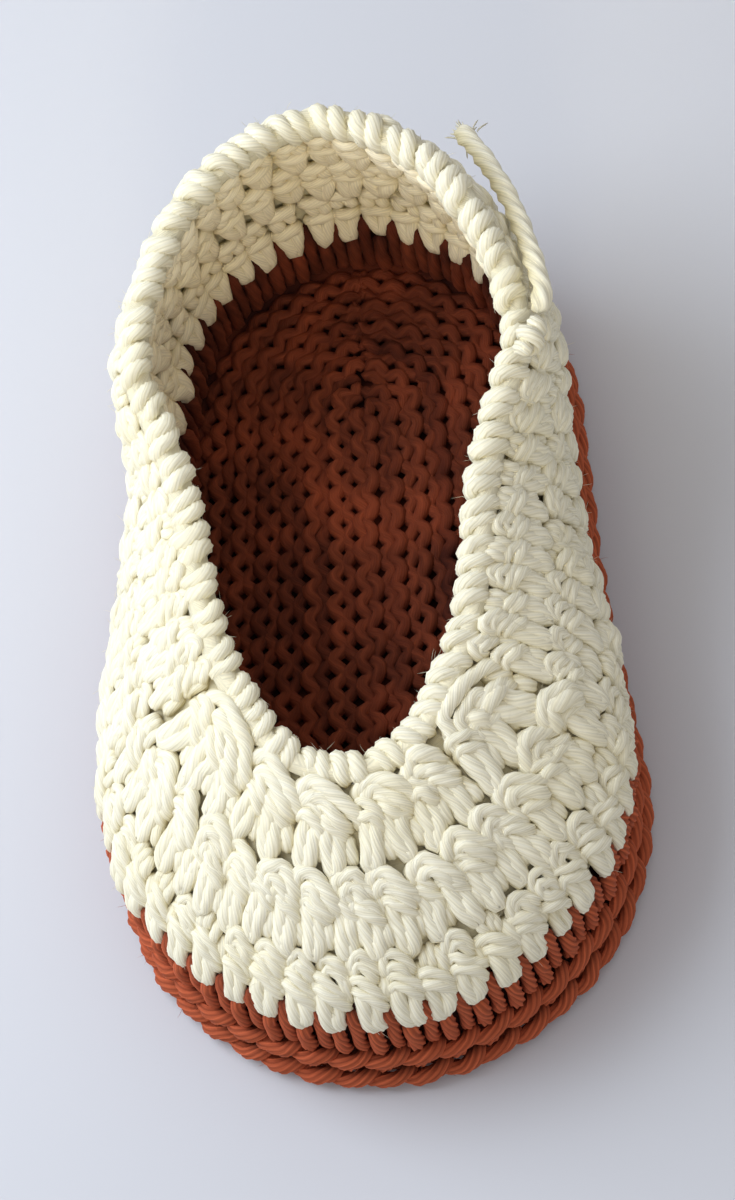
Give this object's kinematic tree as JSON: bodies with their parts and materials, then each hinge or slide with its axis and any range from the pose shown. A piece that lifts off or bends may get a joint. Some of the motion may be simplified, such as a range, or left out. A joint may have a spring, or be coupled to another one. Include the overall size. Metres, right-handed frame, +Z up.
{
  "type": "crocheted baby shoe",
  "caption": "Crocheted baby slip-on shoe: a hollow cream cotton upper with an open collar and throat, a corded edging and a loose yarn tail, on a rust cotton sole of two layers.",
  "frame": {"origin": "on the floor under the middle of the sole", "axes": "+Z up, -Y towards the toe, +Y towards the heel"},
  "size_m": [0.058, 0.1, 0.0443],
  "materials": {
    "rust_cotton": "matte crocheted cotton yarn",
    "cream_cotton": "matte crocheted cotton yarn"
  },
  "bodies": {
    "root": {"outsole": "rust_cotton", "insole": "rust_cotton", "upper": "cream_cotton", "collar_edging": "cream_cotton", "tail_knot": "cream_cotton", "yarn_tail": "cream_cotton"}
  },
  "joints": []
}
